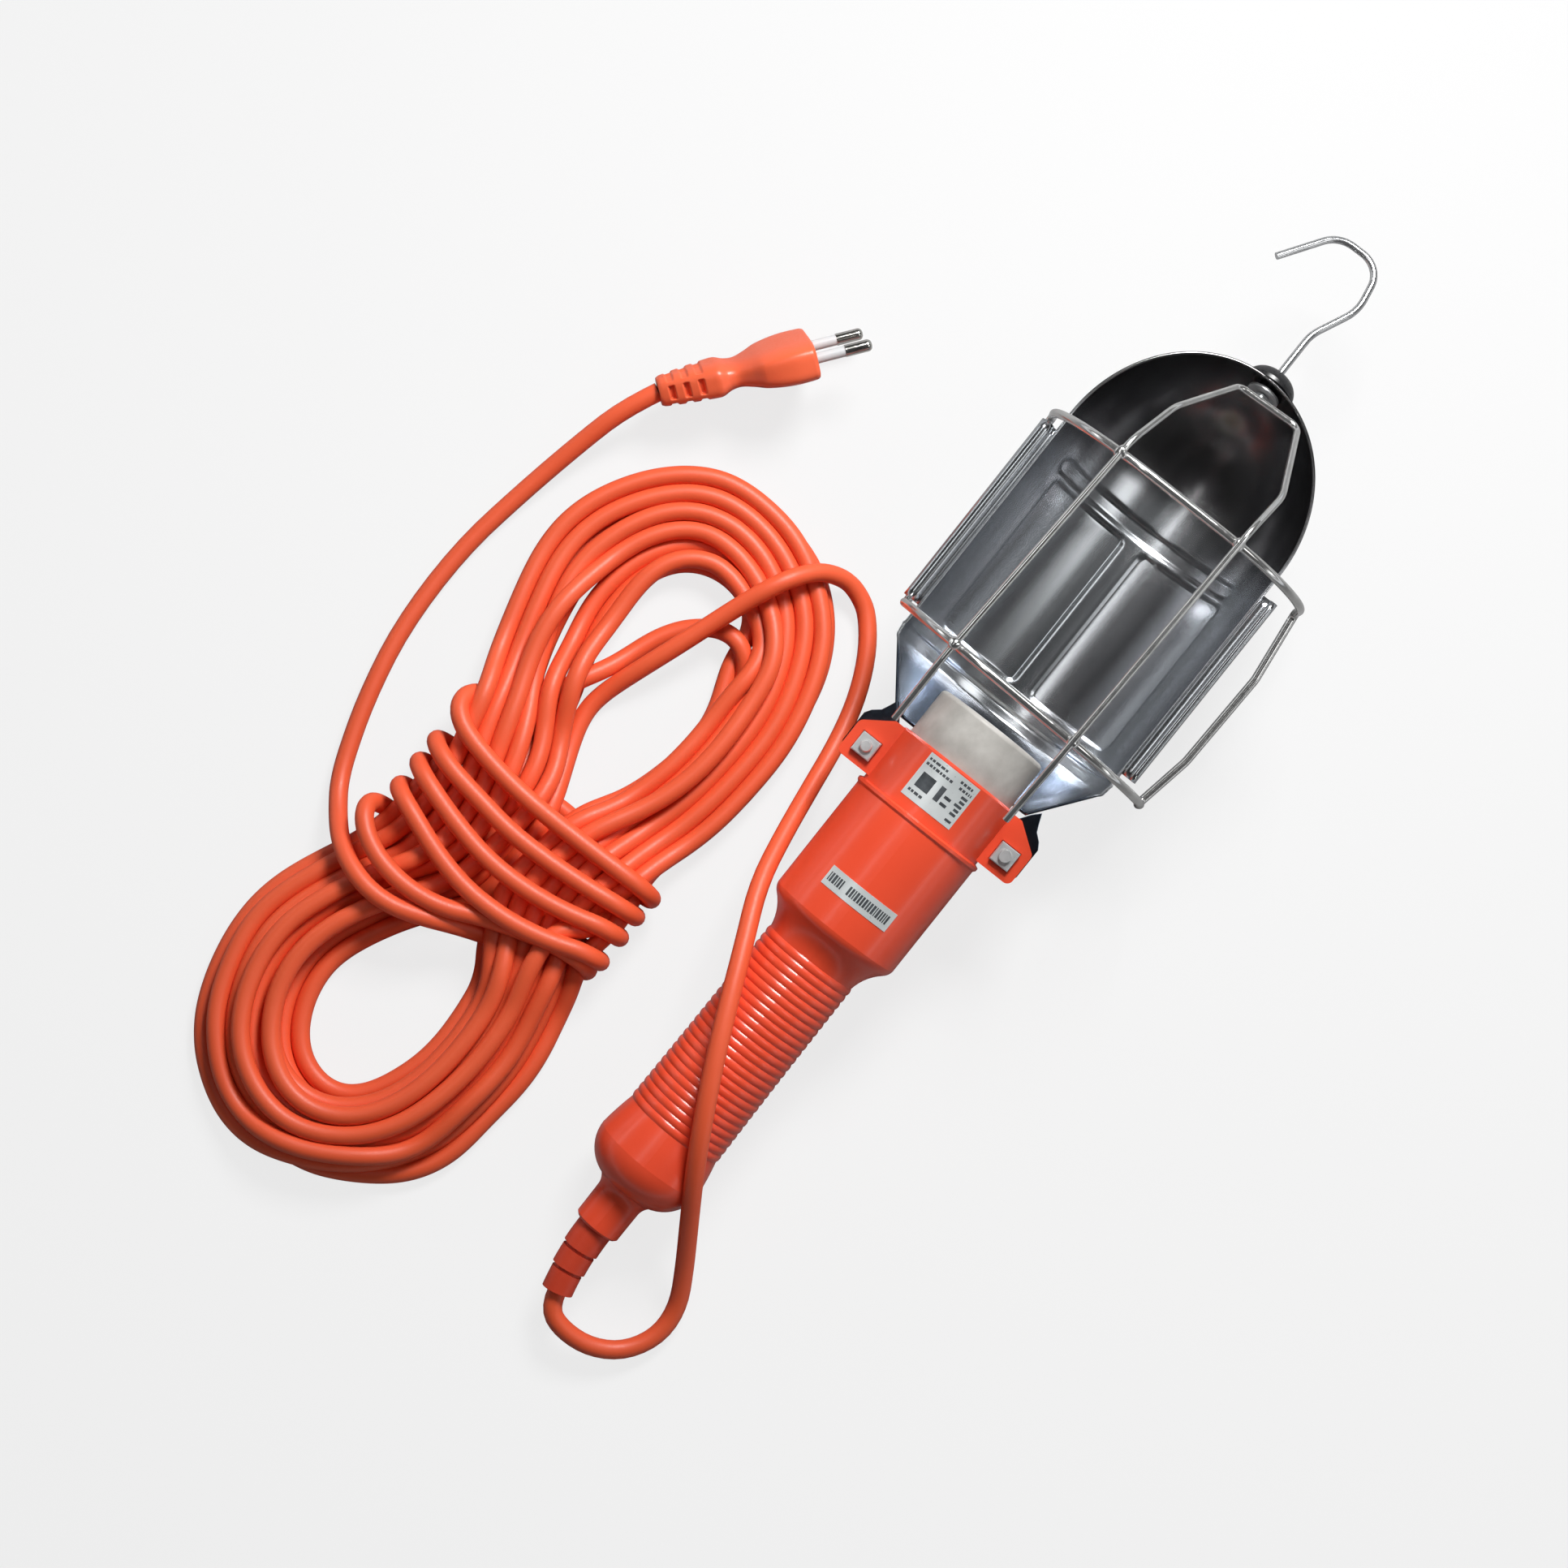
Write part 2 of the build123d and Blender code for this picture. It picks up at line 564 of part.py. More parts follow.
collar_plan = Plane(origin=(collar_x, collar_y, 0))
for name, route in (("cord_lead", lead_route), ("cord_tail", tail_route)):
    with BuildPart() as tube:
        with BuildLine(collar_plan) as tube_path:
            FilletPolyline(*route, radius=corner_radii(route))
        with BuildSketch(Plane(tube_path.line @ 0, z_dir=tube_path.line % 0)):
            Circle(cord_r)
        sweep(path=tube_path.line)
    finish(tube.part, name)
    route_length = sum(edge.length for edge in tube_path.edges())
    print(name, "length", round(route_length, 1), "volume ratio",
          round(tube.part.volume / (math.pi * cord_r ** 2 * route_length), 4))
    print("  radii", [round(r, 1) for r in corner_radii(route)])

# The hank: two open loops with their waist bound by five wraps.
coil_height = 19.0
wrap_height = 27.0
coil_outline = [(-229, 104), (-222, 78), (-199, 55.5), (-170, 48), (-125, 55), (-86, 56), (-58, 50), (-32, 47.5),
                (5, 54), (25, 68), (35, 98), (32.5, 122), (18, 138), (-11, 153), (-58, 143), (-100, 139),
                (-140, 144), (-184, 154), (-215, 140)]
left_loop = [(-202, 102), (-190, 117), (-173, 121), (-145, 113), (-134, 92), (-147, 79), (-175, 79), (-194, 88)]
right_loop = [(-81, 94), (-53, 109), (-26, 112), (-7, 109), (-6, 98), (-26, 88), (-58, 82)]
waist = (-146.0, -76.0, 50.0, 144.0)

with BuildPart() as cord_coil:
    with BuildSketch(collar_plan):
        with BuildLine():
            Spline(*coil_outline, periodic=True)
        make_face()
        for opening in (left_loop, right_loop):
            with BuildLine():
                Spline(*opening, periodic=True)
            make_face(mode=Mode.SUBTRACT)
    extrude(amount=coil_height)
    with BuildSketch(collar_plan):
        with Locations(((waist[0] + waist[1]) / 2, (waist[2] + waist[3]) / 2)):
            RectangleRounded(waist[1] - waist[0], waist[3] - waist[2], 6)
    extrude(amount=wrap_height)
finish(cord_coil.part, "cord_coil")

# ---------------------------------------------------------------- flat two-pin plug standing on its narrow edge
plug_width = 35.3
plug_thickness = 13.7
plug_length = 52.0
pin_spacing = 18.6
pin_r = 2.0
pin_length = 19.0
sleeve_length = 10.0
sleeve_r = 1.8
plug_lean = -27.0         # degrees from upright, towards +Y

plug_way = Vector(58, -43, 0).normalized()
plug_across = Vector(43, 58, 0).normalized()
plug_wide = plug_across * math.sin(math.radians(plug_lean)) + Vector(0, 0, 1) * math.cos(math.radians(plug_lean))
plug_origin = Vector(collar_x + plug_entry[0], collar_y + plug_entry[1], plug_entry[2])
# Distance from the cord's entry, width, thickness and corner radius of each section of the moulding.
plug_sections = [(0.0, 11.0, 9.6, 4.6), (8.0, 16.0, 11.0, 5.0), (17.0, 21.0, 11.6, 5.4), (25.5, 19.0, 8.6, 4.1),
                 (33.0, 29.5, 11.6, 5.4), (43.0, 34.8, 13.4, 6.0), (plug_length, 33.6, 12.8, 5.8)]


def plug_plane(distance, aside=0.0):
    """The plane square to the plug's axis, drawing in its width and its thickness."""
    return Plane(origin=plug_origin + plug_way * distance + plug_wide * aside, x_dir=plug_wide, z_dir=plug_way)


with BuildPart() as plug_body:
    for distance, width, thickness, corner in plug_sections:
        with BuildSketch(plug_plane(distance)):
            RectangleRounded(width, thickness, corner)
    loft()
    for pin_side in (0.5, -0.5):
        with BuildSketch(plug_plane(plug_length - 12, pin_side * pin_spacing)):
            Circle(pin_r)
        extrude(amount=20, mode=Mode.SUBTRACT)
finish(plug_body.part, "plug_body")

with BuildPart() as plug_pins:
    for pin_side in (0.5, -0.5):
        with BuildSketch(plug_plane(plug_length - 12, pin_side * pin_spacing)):
            Circle(pin_r)
        extrude(amount=12)
        with BuildSketch(plug_plane(plug_length, pin_side * pin_spacing)):
            Circle(pin_r - 0.5)
        extrude(amount=sleeve_length)
        with BuildSketch(plug_plane(plug_length + sleeve_length, pin_side * pin_spacing)):
            Circle(pin_r)
        extrude(amount=pin_length - sleeve_length)
    fillet(plug_pins.faces().sort_by(Axis(plug_origin, plug_way))[-2:].edges(), radius=1.5)
finish(plug_pins.part, "plug_pins")

with BuildPart() as pin_sleeves:
    for pin_side in (0.5, -0.5):
        with BuildSketch(plug_plane(plug_length, pin_side * pin_spacing)):
            Circle(sleeve_r)
            Circle(pin_r - 0.5, mode=Mode.SUBTRACT)
        extrude(amount=sleeve_length)
finish(pin_sleeves.part, "pin_sleeves")

print("tilt", round(math.degrees(tilt), 3), "collar_z", round(collar_z, 3), "hook_dip",
      round(math.degrees(hook_dip), 2), "mouth", [round(k, 2) for k in mouth_point])
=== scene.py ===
"""Looks of the hand inspection lamp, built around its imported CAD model.

Lengths in the tables are millimetres. The lamp's own frame has u along its axis towards the hook, y
across it towards the cage's hinge and v up out of the reflector, from the centre of the collar's face.
"""

import math
import bmesh
import bpy
import numpy as np
from mathutils import Matrix, Vector


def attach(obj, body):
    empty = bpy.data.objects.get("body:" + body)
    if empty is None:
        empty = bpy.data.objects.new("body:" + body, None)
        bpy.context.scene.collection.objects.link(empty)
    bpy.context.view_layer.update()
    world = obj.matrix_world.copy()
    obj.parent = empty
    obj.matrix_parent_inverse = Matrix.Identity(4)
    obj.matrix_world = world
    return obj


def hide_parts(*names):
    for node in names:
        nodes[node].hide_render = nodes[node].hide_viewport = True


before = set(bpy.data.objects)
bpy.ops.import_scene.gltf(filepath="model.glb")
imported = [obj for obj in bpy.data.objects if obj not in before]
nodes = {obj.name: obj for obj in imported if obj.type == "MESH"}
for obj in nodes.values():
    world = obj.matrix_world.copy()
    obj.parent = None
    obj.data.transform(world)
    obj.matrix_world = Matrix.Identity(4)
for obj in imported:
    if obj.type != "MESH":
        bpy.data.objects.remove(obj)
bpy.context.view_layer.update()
scene = bpy.context.scene

MM = 0.001
collar = Vector((-1.84, 3.75, 38.716)) * MM
tilt = math.radians(7.0902)
along = Vector((math.cos(tilt), 0, math.sin(tilt)))
upward = Vector((-math.sin(tilt), 0, math.cos(tilt)))
sideways = Vector((0, 1, 0))


def place(u, y, v):
    """A point of the lamp's own frame, in the scene's metres."""
    return collar + (along * u + sideways * y + upward * v) * MM


def plan(x, y, z):
    """A point over the floor, counted from the collar, in the scene's metres."""
    return Vector((collar.x + x * MM, collar.y + y * MM, z * MM))


# ---------------------------------------------------------------- camera
cam_tilt, cam_lean, cam_roll = (math.radians(a) for a in (5.041, 2.306, -0.130))
turn = (Matrix.Rotation(-cam_tilt, 3, "Y") @ Matrix.Rotation(cam_lean, 3, "X") @ Matrix.Rotation(cam_roll, 3, "Z"))
across, beyond, towards = turn.col
cam_data = bpy.data.cameras.new("camera")
cam_data.lens = 60.73
cam_data.sensor_width = 36.0
cam_data.clip_start = 0.05
cam = bpy.data.objects.new("camera", cam_data)
scene.collection.objects.link(cam)
right = across * 0.6247 - beyond * 0.7809
top = across * 0.7809 + beyond * 0.6247
cam.matrix_world = Matrix.Translation(plan(-38.99, 40.53, 45) + towards * 0.83087) @ Matrix(
    (right, top, towards)).transposed().to_4x4()
scene.camera = cam


# ---------------------------------------------------------------- cord
cord_r = 3.1

lead_points = [(-208.65, -2.92, 12.76), (-214.52, -4.4, 12.03), (-217.6, -11, 10.6), (-217.2, -22, 7.4),
               (-211.6, -32, 4.4), (-201, -37.8, 3.4), (-189.5, -37, 5.0), (-178, -30.5, 12.5),
               (-166, -22.8, 23.5), (-153, -14.5, 35.5), (-139, -6.5, 43.4), (-122, 2.5, 46.4),
               (-104, 11, 45.6), (-86, 19, 41.0), (-68, 27.5, 33.6), (-50, 31.3, 24), (-32, 34.2, 14.6),
               (-14, 36.9, 7.4), (2, 41, 3.6), (16, 47.6, 3.2)]
tail_points = [(-119, 160.3, 3.2), (-99, 167.6, 3.2), (-73, 173.6, 3.2), (-41, 174.8, 3.2), (-13, 170.6, 4.6),
               (10, 165.4, 9.8), (28, 160.2, 15.6), (39.0, 154.6, 17.3)]

# The hank's turns run leftwards through the upper half of the waist and back through the lower half.
# Each station: inner edge, outer edge of the strands' centre lines there, and the height of its lowest strand.
stations = [((-100, 96), (-100, 132), 9.4), ((-122, 97), (-122, 133), 9.2), ((-146, 112.5), (-146, 141), 6.0),
            ((-172, 123), (-172, 150), 3.6), ((-192, 120.5), (-196, 146.5), 3.1), ((-204.5, 109), (-221, 131.5), 3.1),
            ((-208, 98), (-230, 103), 3.1), ((-203.5, 87.5), (-223, 78.5), 3.1), ((-190, 79.0), (-203.5, 60.0), 3.1),
            ((-168, 75.5), (-172, 53), 3.6), ((-146, 78.5), (-144, 55.5), 6.0), ((-122, 92.5), (-120, 60), 9.2),
            ((-98, 92.5), (-98, 58), 9.4), ((-78, 85.5), (-80, 56.5), 8.0), ((-58, 77.5), (-60, 52.5), 5.0),
            ((-34, 76.5), (-32, 50), 3.3), ((-14, 81.5), (-6, 52.5), 3.1), ((-3, 89.5), (14, 61.5), 3.1),
            ((1.5, 99), (28, 80), 3.1), ((-0.5, 108.5), (34, 102), 3.1), ((-8, 116), (30, 126), 3.1),
            ((-24, 118.5), (10, 145), 3.3), ((-46, 115.5), (-16, 152.5), 4.0), ((-70, 107.5), (-54, 144), 7.5),
            ((-86, 99.5), (-82, 134), 9.0)]
turn_count = 12
layer_height = 5.6          # from one layer of strands to the next
curve_steps = 12            # points per segment of the hank's smooth line
settle_spacing = 4.2        # between the points that are pushed apart
control_spacing = 6.5       # between the spline's control points
sharpest_corner = 40        # degrees that the spline may turn at one control point


def even(points, spacing):
    """The polyline's points moved to an even spacing."""
    points = np.asarray(points, float)
    run = np.concatenate([[0], np.cumsum(np.linalg.norm(np.diff(points, axis=0), axis=1))])
    at = np.linspace(0, run[-1], int(round(run[-1] / spacing)) + 1)
    return np.stack([np.interp(at, run, points[:, k]) for k in range(3)], axis=1)


def open_curve(points, steps=curve_steps):
    """Catmull-Rom through open points."""
    p = np.asarray(points, float)
    p = np.vstack([2 * p[0] - p[1], p, 2 * p[-1] - p[-2]])
    t = np.linspace(0, 1, steps, endpoint=False)[:, None]
    out = []
    for a, b, c, d in zip(p, p[1:], p[2:], p[3:]):
        out.append(0.5 * (2 * b + (c - a) * t + (2 * a - 5 * b + 4 * c - d) * t ** 2
                          + (3 * b - a - 3 * c + d) * t ** 3))
    out.append(p[-2][None])
    return np.vstack(out)


# One short turn of the right-hand loop, from its lower side to its upper.
short_turn = [(-58, 66, 7), (-34, 66.5, 6), (-17, 71, 6.5), (-8.5, 79, 9), (-8.5, 88, 12), (-13, 97, 13),
              (-24, 105.5, 11), (-44, 111.5, 9)]
# From the last turn, under the bundle and over its edge, round it five times, and out as the tail.
binding = [(-112, 60, 14), (-104, 59, 9), (-98, 67, 4.2), (-93.5, 86, 3.1), (-87.5, 108, 3.1), (-78, 125, 4.2),
           (-73.5, 134, 8.5), (-76, 140, 14.5), (-82, 140.5, 19.5), (-87.5, 133, 22), (-91, 117, 22.3),
           (-92.5, 100, 22.3), (-92.5, 80, 22.2), (-92, 62.5, 21.8), (-91.8, 54, 18.8), (-92.3, 50.3, 12.7),
           (-93.0, 53.8, 6.2)]
# The x of the next three binding turns' top, middle and bottom.
wraps = [(-94.5, -104, -100), (-103.5, -115.5, -108.5), (-113.5, -127, -118.5)]
last_wrap = [(-125.5, 143.2, 18.0), (-131.5, 139, 21.3), (-137, 128, 22.2), (-138.5, 114, 22.2), (-136, 101, 20.5),
             (-131, 91, 18.4), (-126.5, 78, 18.4), (-123.3, 67, 19.4), (-122.2, 57.5, 18.4), (-122.6, 51.6, 11.4),
             (-125.0, 56.0, 4.6), (-128.6, 67, 3.1), (-132.5, 78, 5.0), (-135, 87, 9.5), (-138.5, 96, 15),
             (-143, 106, 19.5), (-146.5, 117, 21.5), (-146, 129, 21.0), (-141.5, 140.5, 16.5), (-134.5, 149.5, 8.5),
             (-127, 156, 4.4)]


def hank_line():
    """Centre line of the bound hank before it settles, with the span of its loose turns."""
    rng = np.random.default_rng(7)
    inner = np.array([s[0] for s in stations], float)
    outer = np.array([s[1] for s in stations], float)
    low = np.array([s[2] for s in stations], float)
    per_turn = len(stations)
    right_side = range(14, 23)
    # Place of each turn across the bundle, from its inner edge to its outer, and its layer.
    places = [0.0, 0.2, 0.42, 0.62, 0.82, 1.0, 0.9, 0.7, 0.5, 0.3, 0.1, 0.62]
    layers = [0, 0, 0, 0, 0, 0, 1, 1, 1, 1, 1, 1.6]
    round_turn = 2 * math.pi * np.arange(per_turn) / per_turn
    rows = [(26, 55.6, 3.3), (30.5, 65, 6.0), (27, 75, 13.0), (18, 81.5, 19), (6, 87, 23), (-8, 92.5, 24.5),
            (-24, 98, 23), (-38, 103.5, 19), (-50, 108, 14.5), (-64, 109, 11), (-82, 102, 9.6)]
    for k, (share, layer) in enumerate(zip(places, layers)):
        following = min(k + 1, turn_count - 1)
        shift, sway = rng.uniform(0, 2 * math.pi, 2)
        stray = 0.065 * np.sin(round_turn + shift) + 0.04 * np.sin(2 * round_turn + sway)
        for n in range(per_turn):
            if k == turn_count - 1 and n > 11:
                break
            if k == 1 and n in right_side:
                if n == right_side[0]:
                    rows += short_turn
                continue
            done = n / per_turn
            f = share + (places[following] - share) * done + stray[n]
            high = layer + (layers[following] - layer) * done
            x, y = inner[n] + f * (outer[n] - inner[n])
            rows.append((x, y, low[n] + high * layer_height))
    binding_from = len(rows) + 3
    rows += binding
    for top_x, middle, bottom in wraps:
        start = rows[-1][0]
        rows += [(start - 0.2, 63, 3.2), (start - 0.6, 82, 3.1), (start * 0.4 + top_x * 0.6, 108, 3.1),
                 (top_x + 0.9, 128, 3.4), (top_x + 0.3, 137, 6.6), (top_x - 0.6, 140.3, 13.0),
                 (top_x - 2.6, 137.2, 19.3), (top_x - 5.5, 129, 22.0),
                 (middle * 0.7 + top_x * 0.3 - 1, 115, 22.3), (middle, 100, 22.4), (middle + 0.3, 84, 22.3),
                 (middle * 0.6 + bottom * 0.4, 69, 22.1), (bottom - 0.8, 57.5, 20.6),
                 (bottom - 0.2, 51.2, 15.0), (bottom + 0.2, 51.6, 8.2)]
    start = rows[-1][0]
    rows += [(start - 0.3, 62, 3.3), (start - 1.0, 82, 3.1), (start - 2.0, 108, 3.1), (-122.5, 130, 3.6),
             (-122.8, 140, 7.5)]
    rows += last_wrap
    return np.array(rows, float), binding_from


def settle(line, held, rounds):
    """Let the strands' thickness, weight and stiffness shape the hank: they push apart and lie on each other."""
    smoothing = (0.5, -0.52)
    along_strand = 5            # nearer points along the same strand don't push
    p = line.copy()
    goal = line[:, :2].copy()
    count = len(p)
    thick = 2 * cord_r
    free = (1 - held)[:, None]
    for step in range(rounds):
        if step % 6 == 0:
            gap = p[:, None, :] - p[None, :, :]
            near = np.einsum("ijk,ijk->ij", gap, gap) < (thick + 2.5) ** 2
            i, j = np.nonzero(np.triu(near, along_strand))
        p[:, 2] -= (0.10 if step < rounds * 0.6 else 0.03) * free[:, 0]
        for amount in smoothing * 2:
            curl = (p[:-2] + p[2:]) / 2 - p[1:-1]
            p[1:-1] += curl * amount * free[1:-1]
        p[:, :2] += (goal - p[:, :2]) * 0.03 * free
        for _ in range(5):
            d = p[i] - p[j]
            dist = np.linalg.norm(d, axis=1) + 1e-9
            close = dist < thick
            a, b = i[close], j[close]
            move = d[close] / dist[close][:, None] * (thick - dist[close])[:, None]
            total = np.stack([np.bincount(a, move[:, k], count) - np.bincount(b, move[:, k], count)
                              for k in range(3)], axis=1)
            share = np.bincount(a, minlength=count) + np.bincount(b, minlength=count)
            p += total / np.maximum(share, 1)[:, None] * 0.9 * free
            p[:, 2] = np.maximum(p[:, 2], cord_r)
    for amount in smoothing * 10:
        p[1:-1] += ((p[:-2] + p[2:]) / 2 - p[1:-1]) * amount * free[1:-1]
    return p


def cord_line():
    """The hank's settled centre line. Its first points, from the lead, and its binding turns are held."""
    rows, binding_from = hank_line()
    coarse = open_curve(rows)
    line = even(coarse, settle_spacing)
    run = np.linalg.norm(np.diff(coarse, axis=0), axis=1).cumsum()
    start = run[binding_from * curve_steps - 1] / run[-1] * (len(line) - 1)
    lead_in = run[5 * curve_steps - 1] / run[-1] * (len(line) - 1)
    number = np.arange(len(line))
    held = np.clip((number - start) / 6, 0, 1) + np.clip((lead_in - number) / 6, 0, 1)
    return settle(line, np.clip(held, 0, 1), rounds=150)


def eased(points, most, rounds=60):
    """The line with its sharpest corners rounded, so that none turns more than `most` degrees at one point."""
    line = points.copy()
    for _ in range(rounds):
        step = line[1:] - line[:-1]
        step /= np.linalg.norm(step, axis=1)[:, None]
        bend = np.degrees(np.arccos(np.clip((step[1:] * step[:-1]).sum(axis=1), -1, 1)))
        pull = np.clip((bend - most) / most, 0, 0.5)[:, None]
        line[1:-1] += pull * ((line[2:] + line[:-2]) / 2 - line[1:-1])
    return line


def smooth_curve(name, points, size):
    """A round tube along one NURBS spline through the route."""
    data = bpy.data.curves.new(name, "CURVE")
    data.dimensions = "3D"
    spline = data.splines.new("NURBS")
    spline.points.add(len(points) - 1)
    for point, at in zip(spline.points, points):
        point.co = (*at, 1)
        point.radius = size
    spline.order_u = 3
    spline.use_endpoint_u = True
    spline.resolution_u = 4
    data.bevel_depth = 1.0
    data.bevel_resolution = 6
    data.use_fill_caps = True
    obj = bpy.data.objects.new(name, data)
    scene.collection.objects.link(obj)
    return obj


controls = eased(even(cord_line(), control_spacing), sharpest_corner)
route = [plan(*p) for p in lead_points] + [plan(*p) for p in controls] + [plan(*p) for p in tail_points]
cord = smooth_curve("cord", route, cord_r * MM)
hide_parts("cord_lead", "cord_coil", "cord_tail")
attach(cord, "lamp")


# ---------------------------------------------------------------- materials
def surface(name, low, high, rough, grain=900.0, bump=0.0, metallic=0.0, coat=0.0, stretch=(1, 1, 1),
            rough_spread=0.05, patch=60.0, tilted=False):
    """A procedural finish: patchy colour between low and high, fine grain in its bump, uneven gloss."""
    mat = bpy.data.materials.new(name)
    mat.use_nodes = True
    tree = mat.node_tree
    shader = tree.nodes["Principled BSDF"]
    shader.inputs["Metallic"].default_value = metallic
    shader.inputs["Coat Weight"].default_value = coat
    shader.inputs["Coat Roughness"].default_value = 0.12
    where = tree.nodes.new("ShaderNodeTexCoord")
    mapping = tree.nodes.new("ShaderNodeMapping")
    mapping.inputs["Scale"].default_value = stretch
    if tilted:
        mapping.vector_type = "TEXTURE"
        mapping.inputs["Scale"].default_value = [1 / s for s in stretch]
        mapping.inputs["Rotation"].default_value = (0, -tilt, 0)
    tree.links.new(where.outputs["Object"], mapping.inputs["Vector"])
    patches = tree.nodes.new("ShaderNodeTexNoise")
    patches.inputs["Scale"].default_value = patch
    patches.inputs["Detail"].default_value = 6
    tree.links.new(mapping.outputs["Vector"], patches.inputs["Vector"])
    ramp = tree.nodes.new("ShaderNodeValToRGB")
    ramp.color_ramp.elements[0].position = 0.32
    ramp.color_ramp.elements[1].position = 0.68
    ramp.color_ramp.elements[0].color = (*low, 1)
    ramp.color_ramp.elements[1].color = (*high, 1)
    tree.links.new(patches.outputs["Fac"], ramp.inputs["Fac"])
    tree.links.new(ramp.outputs["Color"], shader.inputs["Base Color"])
    fine = tree.nodes.new("ShaderNodeTexNoise")
    fine.inputs["Scale"].default_value = grain
    fine.inputs["Detail"].default_value = 4
    tree.links.new(mapping.outputs["Vector"], fine.inputs["Vector"])
    gloss = tree.nodes.new("ShaderNodeMapRange")
    gloss.inputs["From Min"].default_value = 0.3
    gloss.inputs["From Max"].default_value = 0.7
    gloss.inputs["To Min"].default_value = max(rough - rough_spread, 0.02)
    gloss.inputs["To Max"].default_value = rough + rough_spread
    tree.links.new(fine.outputs["Fac"], gloss.inputs["Value"])
    tree.links.new(gloss.outputs["Result"], shader.inputs["Roughness"])
    if bump:
        relief = tree.nodes.new("ShaderNodeBump")
        relief.inputs["Strength"].default_value = 0.6
        relief.inputs["Distance"].default_value = bump * MM
        tree.links.new(fine.outputs["Fac"], relief.inputs["Height"])
        tree.links.new(relief.outputs["Normal"], shader.inputs["Normal"])
    return mat


cord_skin = surface("cord_skin", (0.83, 0.106, 0.036), (0.89, 0.122, 0.043), 0.46, grain=1400, bump=0.05, patch=25)
plastic = surface("handle_plastic", (0.87, 0.080, 0.032), (0.93, 0.093, 0.038), 0.30, grain=90, coat=0.15,
                  rough_spread=0.02, patch=30)
boot_rubber = surface("boot_rubber", (0.62, 0.055, 0.022), (0.70, 0.068, 0.028), 0.42, grain=900, bump=0.06)
plug_skin = surface("plug_plastic", (0.84, 0.125, 0.050), (0.90, 0.145, 0.058), 0.34, grain=1100, bump=0.06)
bright_steel = surface("bright_steel", (0.66, 0.68, 0.70), (0.80, 0.82, 0.84), 0.20, grain=420, bump=0.03,
                       metallic=1.0, stretch=(0.12, 1, 1), rough_spread=0.07, tilted=True, patch=30)
wire_steel = surface("wire_steel", (0.62, 0.62, 0.61), (0.76, 0.76, 0.75), 0.17, grain=900, bump=0.01,
                     metallic=0.90, patch=160)
hook_steel = surface("hook_steel", (0.56, 0.57, 0.58), (0.72, 0.73, 0.74), 0.20, grain=900, bump=0.02,
                     metallic=0.9, patch=160)
zinc = surface("zinc_plate", (0.74, 0.75, 0.75), (0.84, 0.85, 0.85), 0.34, grain=900, bump=0.01, metallic=0.6,
               patch=120)
nickel = surface("nickel", (0.66, 0.64, 0.60), (0.78, 0.76, 0.72), 0.17, grain=900, bump=0.01, metallic=1.0,
                 patch=200)
brass = surface("brass", (0.70, 0.50, 0.20), (0.82, 0.60, 0.28), 0.25, grain=700, bump=0.02, metallic=1.0,
                patch=150)
holder_grey = surface("holder_grey", (0.42, 0.405, 0.375), (0.55, 0.535, 0.50), 0.48, grain=500, bump=0.08,
                      patch=140)
bush_black = surface("bush_black", (0.012, 0.012, 0.013), (0.025, 0.025, 0.026), 0.30, grain=700, bump=0.04)
clamp_black = surface("clamp_black", (0.03, 0.03, 0.032), (0.05, 0.05, 0.052), 0.45, grain=700, bump=0.05)
blue_sheath = surface("blue_sheath", (0.03, 0.12, 0.42), (0.04, 0.15, 0.50), 0.40, grain=900, bump=0.04)
brown_sheath = surface("brown_sheath", (0.13, 0.05, 0.02), (0.17, 0.07, 0.03), 0.40, grain=900, bump=0.04)
film = surface("label_film", (0.62, 0.66, 0.66), (0.80, 0.84, 0.84), 0.32, grain=900, bump=0.004, metallic=0.25,
               patch=55)
print_ink = surface("label_print", (0.035, 0.04, 0.045), (0.09, 0.10, 0.11), 0.45, grain=900, patch=300)
sleeve_skin = surface("sleeve_plastic", (0.52, 0.53, 0.54), (0.62, 0.63, 0.64), 0.35, grain=900, bump=0.03)

finishes = {
    "handle": plastic, "strain_relief": boot_rubber, "cord_end": cord_skin, "cord_lead": cord_skin,
    "cord_coil": cord_skin, "cord_tail": cord_skin, "plug_body": plug_skin, "plug_pins": nickel,
    "pin_sleeves": sleeve_skin, "reflector": bright_steel, "cage_frame": wire_steel, "cage_guard": wire_steel,
    "hook": hook_steel, "ear_screws": zinc, "ear_washers": zinc, "square_nuts": zinc, "clamp_screws": zinc,
    "terminal_screws": brass, "lampholder_body": holder_grey, "contact_base": holder_grey,
    "centre_contact": brass, "neutral_link": brass, "neutral_terminal": brass, "live_terminal": brass,
    "socket_shell": nickel, "hook_bush": bush_black, "hook_washer": zinc, "clamp_upper": clamp_black,
    "clamp_lower": clamp_black, "neutral_wire": blue_sheath, "live_wire": brown_sheath,
    "rating_label": film, "strip_label": film,
}
for name, node in nodes.items():
    for holder in node.material_slots:
        holder.material = finishes[name]
cord.data.materials.append(cord_skin)


# ---------------------------------------------------------------- reflector
shell_r, shell_wall, shell_shift = 42.0, 0.9, 1.2
dome_at, dome_depth = 110.0, 47.2
hinge_y, hinge_v = 46.5, 1.4


